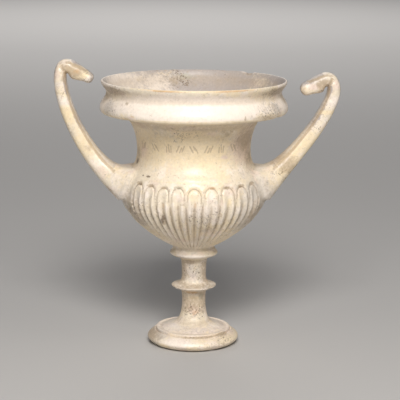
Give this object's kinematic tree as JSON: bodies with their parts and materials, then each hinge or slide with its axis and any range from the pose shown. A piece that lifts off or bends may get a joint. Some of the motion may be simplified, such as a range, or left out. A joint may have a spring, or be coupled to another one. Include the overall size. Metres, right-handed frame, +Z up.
{
  "type": "kantharos",
  "caption": "Stemmed stone drinking cup with a tongue-fluted bowl, tall neck, heavy moulded rim and free-ended handles that hook in over the rim.",
  "frame": {"origin": "on the cup's axis, at the flat underside of the foot", "axes": "+Z up along the cup's axis, X through the two handles with the taller handle at -X, -Y towards the inscribed front"},
  "size_m": [0.283, 0.1858, 0.2876],
  "materials": {
    "pale_stone": "polished, worn"
  },
  "bodies": {
    "root": {"kantharos": "pale_stone"}
  },
  "joints": []
}
